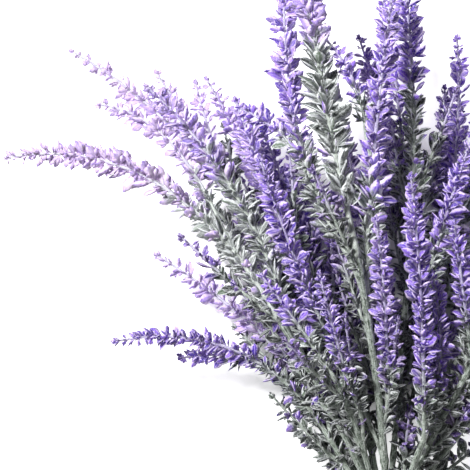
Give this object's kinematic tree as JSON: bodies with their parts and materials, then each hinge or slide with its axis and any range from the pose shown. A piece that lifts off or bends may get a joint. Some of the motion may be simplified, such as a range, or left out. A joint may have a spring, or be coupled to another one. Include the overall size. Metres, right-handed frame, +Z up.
{
  "type": "bunch of dried lavender",
  "caption": "Fan-shaped bunch of dried lavender, lying down: stems that fork into leafy purple flower spikes, bound low down with natural twine.",
  "frame": {"origin": "on the surface that the bunch lies on, under the middle of its bounding box", "axes": "+Y from the cut ends to the flower tips, +X across the fan, +Z up from the surface"},
  "size_m": [0.419, 0.447, 0.1115],
  "materials": {
    "stem": "dull grey-green bark with pale bloom",
    "flower_spike": "dry, velvety calyces, purple with pale edges, grey-green low on the spike",
    "twine": "two-ply natural jute"
  },
  "bodies": {
    "root": {"stem_01": "stem", "stem_02": "stem", "stem_03": "stem", "stem_04": "stem", "stem_05": "stem", "stem_06": "stem", "stem_07": "stem", "stem_08": "stem", "stem_09": "stem", "stem_10": "stem", "stem_11": "stem", "stem_12": "stem", "stem_13": "stem", "stem_14": "stem", "spike_01a": "flower_spike", "spike_01b": "flower_spike", "spike_01c": "flower_spike", "spike_02a": "flower_spike", "spike_02b": "flower_spike", "spike_02c": "flower_spike", "spike_03a": "flower_spike", "spike_03b": "flower_spike", "spike_03c": "flower_spike", "spike_04a": "flower_spike", "spike_04b": "flower_spike", "spike_05a": "flower_spike", "spike_05b": "flower_spike", "spike_05c": "flower_spike", "spike_06a": "flower_spike", "spike_06b": "flower_spike", "spike_06c": "flower_spike", "spike_06d": "flower_spike", "spike_07a": "flower_spike", "spike_07b": "flower_spike", "spike_07c": "flower_spike", "spike_08a": "flower_spike", "spike_08b": "flower_spike", "spike_08c": "flower_spike", "spike_09a": "flower_spike", "spike_09b": "flower_spike", "spike_09c": "flower_spike", "spike_10a": "flower_spike", "spike_10b": "flower_spike", "spike_10c": "flower_spike", "spike_11a": "flower_spike", "spike_11b": "flower_spike", "spike_11c": "flower_spike", "spike_12a": "flower_spike", "spike_12b": "flower_spike", "spike_13a": "flower_spike", "spike_13b": "flower_spike", "spike_13c": "flower_spike", "spike_13d": "flower_spike", "spike_13e": "flower_spike", "spike_13f": "flower_spike", "spike_13g": "flower_spike", "spike_14a": "flower_spike", "spike_14b": "flower_spike", "twine_binding": "twine", "twine_knot": "twine"}
  },
  "joints": []
}
